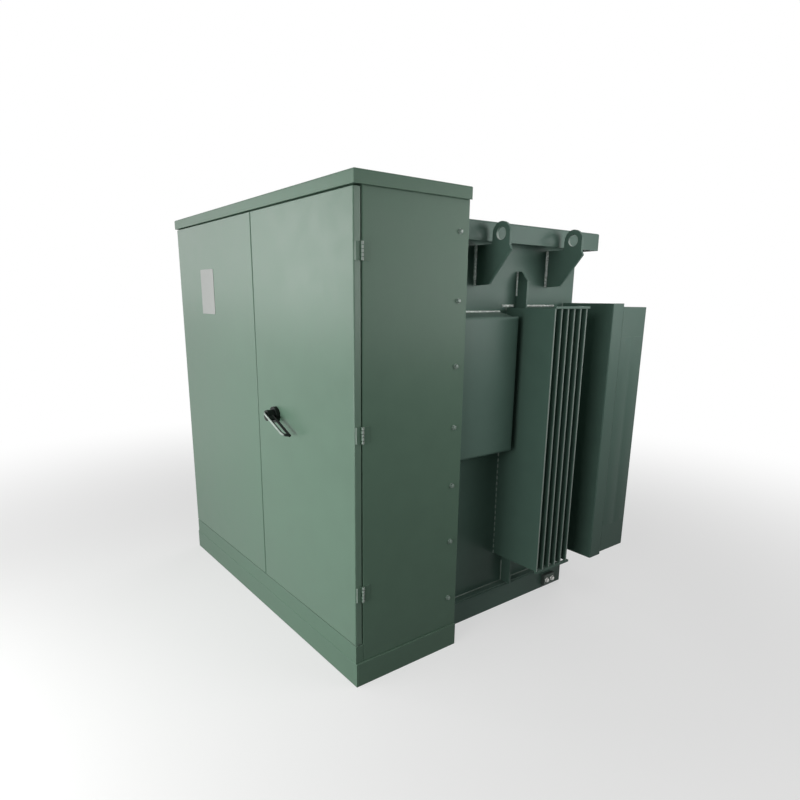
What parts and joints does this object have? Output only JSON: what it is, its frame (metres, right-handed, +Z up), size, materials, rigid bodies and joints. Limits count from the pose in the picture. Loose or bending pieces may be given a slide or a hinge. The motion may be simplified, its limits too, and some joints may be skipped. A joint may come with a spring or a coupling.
{
  "type": "pad-mounted power transformer",
  "caption": "Pad-mounted power transformer: two-door terminal cabinet in front of an oil tank with lifting lugs, side boxes and welded radiator fins.",
  "frame": {"origin": "on the ground, in the middle of the box round the part with its doors closed and its handle at rest", "axes": "+Z up, the doors face -Y, +X to the right of a person who faces the doors"},
  "size_m": [2.034, 1.702, 1.95],
  "materials": {
    "cabinet_paint": "semi-gloss green paint on sheet steel",
    "tank_paint": "semi-gloss green paint on steel plate",
    "fin_paint": "satin green paint on thin sheet",
    "insulator": "moulded insulator",
    "tinned_spade": "tinned flat terminal",
    "bare_steel": "bare stainless steel",
    "handle_metal": "glossy dark coating"
  },
  "bodies": {
    "housing": {"base_side_rails": "tank_paint", "base_cross_rails": "tank_paint", "tank_floor": "tank_paint", "tank_front_plate": "tank_paint", "tank_right_wall": "tank_paint", "tank_left_wall": "tank_paint", "tank_rear_wall": "tank_paint", "tank_cover": "tank_paint", "right_lifting_lugs": "tank_paint", "left_lifting_lugs": "tank_paint", "right_wall_rib": "tank_paint", "left_wall_rib": "tank_paint", "right_side_box": "tank_paint", "right_box_lid": "tank_paint", "left_side_box": "tank_paint", "left_box_lid": "tank_paint", "right_fins": "fin_paint", "right_fin_ties": "fin_paint", "left_fins": "fin_paint", "left_fin_ties": "fin_paint", "right_corner_header": "fin_paint", "left_corner_header": "fin_paint", "rear_fins": "fin_paint", "rear_end_panels": "fin_paint", "rear_fin_ties": "fin_paint", "plinth_front": "cabinet_paint", "plinth_sides": "cabinet_paint", "cabinet_sill": "cabinet_paint", "cabinet_right_side": "cabinet_paint", "cabinet_left_side": "cabinet_paint", "cabinet_top_rail": "cabinet_paint", "cabinet_roof": "cabinet_paint", "compartment_barrier": "cabinet_paint", "hv_bushings": "insulator", "lv_bushings": "insulator", "lv_spades": "tinned_spade", "ground_pads": "bare_steel", "right_frame_hinges": "cabinet_paint", "left_frame_hinges": "cabinet_paint"},
    "right_door_leaf": {"right_door": "cabinet_paint", "right_door_hinges": "cabinet_paint", "handle_base": "handle_metal"},
    "left_door_leaf": {"left_door": "cabinet_paint", "left_door_hinges": "cabinet_paint"},
    "handle": {"door_handle": "handle_metal"}
  },
  "joints": [
    {"name": "right_door_swing", "type": "hinge", "parent": "housing", "child": "right_door_leaf", "pos_m": [0.8895, -0.75725, 1], "axis": [0, 0, 1], "range_deg": [0, 120]},
    {"name": "left_door_swing", "type": "hinge", "parent": "housing", "child": "left_door_leaf", "pos_m": [-0.8895, -0.75725, 1], "axis": [0, 0, -1], "range_deg": [0, 120]},
    {"name": "handle_turn", "type": "hinge", "parent": "right_door_leaf", "child": "handle", "pos_m": [0.262, -0.789, 1.03], "axis": [0, 1, 0], "range_deg": [0, 90]}
  ]
}
